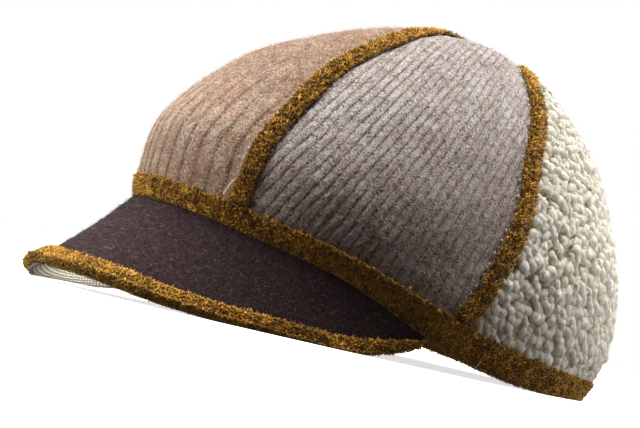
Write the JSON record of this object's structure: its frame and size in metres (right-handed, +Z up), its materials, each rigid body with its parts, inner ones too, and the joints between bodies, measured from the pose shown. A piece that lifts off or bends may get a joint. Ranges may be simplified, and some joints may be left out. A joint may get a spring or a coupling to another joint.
{
  "type": "visor beanie",
  "caption": "Patchwork wool cap with a felt peak; ribbed and curly cloth panels, with chenille tape on each seam, round the rim and along the peak.",
  "frame": {"origin": "on the surface that the cap rests on, under the middle of its bounding box", "axes": "+Z up from the surface, the peak points to -Y, the wearer's left is +X"},
  "size_m": [0.177, 0.2424, 0.1306],
  "materials": {
    "felted_rib_tan": "brushed rib knit",
    "felted_rib_grey": "brushed rib knit",
    "boucle_cream": "curly pile",
    "felted_knit_back": "brushed knit",
    "chenille_tape": "looped chenille",
    "wool_felt": "matte felt",
    "jersey_lining": "plain knit"
  },
  "bodies": {
    "root": {"front_panel": "felted_rib_tan", "side_panel_left": "felted_rib_grey", "side_panel_right": "felted_rib_grey", "rear_panel_left": "boucle_cream", "rear_panel_right": "boucle_cream", "back_panel": "felted_knit_back", "seam_tape_over_top": "chenille_tape", "seam_tape_front_left": "chenille_tape", "seam_tape_front_right": "chenille_tape", "seam_tape_back_left": "chenille_tape", "seam_tape_back_right": "chenille_tape", "hem_band": "chenille_tape", "peak_felt": "wool_felt", "peak_lining": "jersey_lining", "peak_trim": "chenille_tape"}
  },
  "joints": []
}
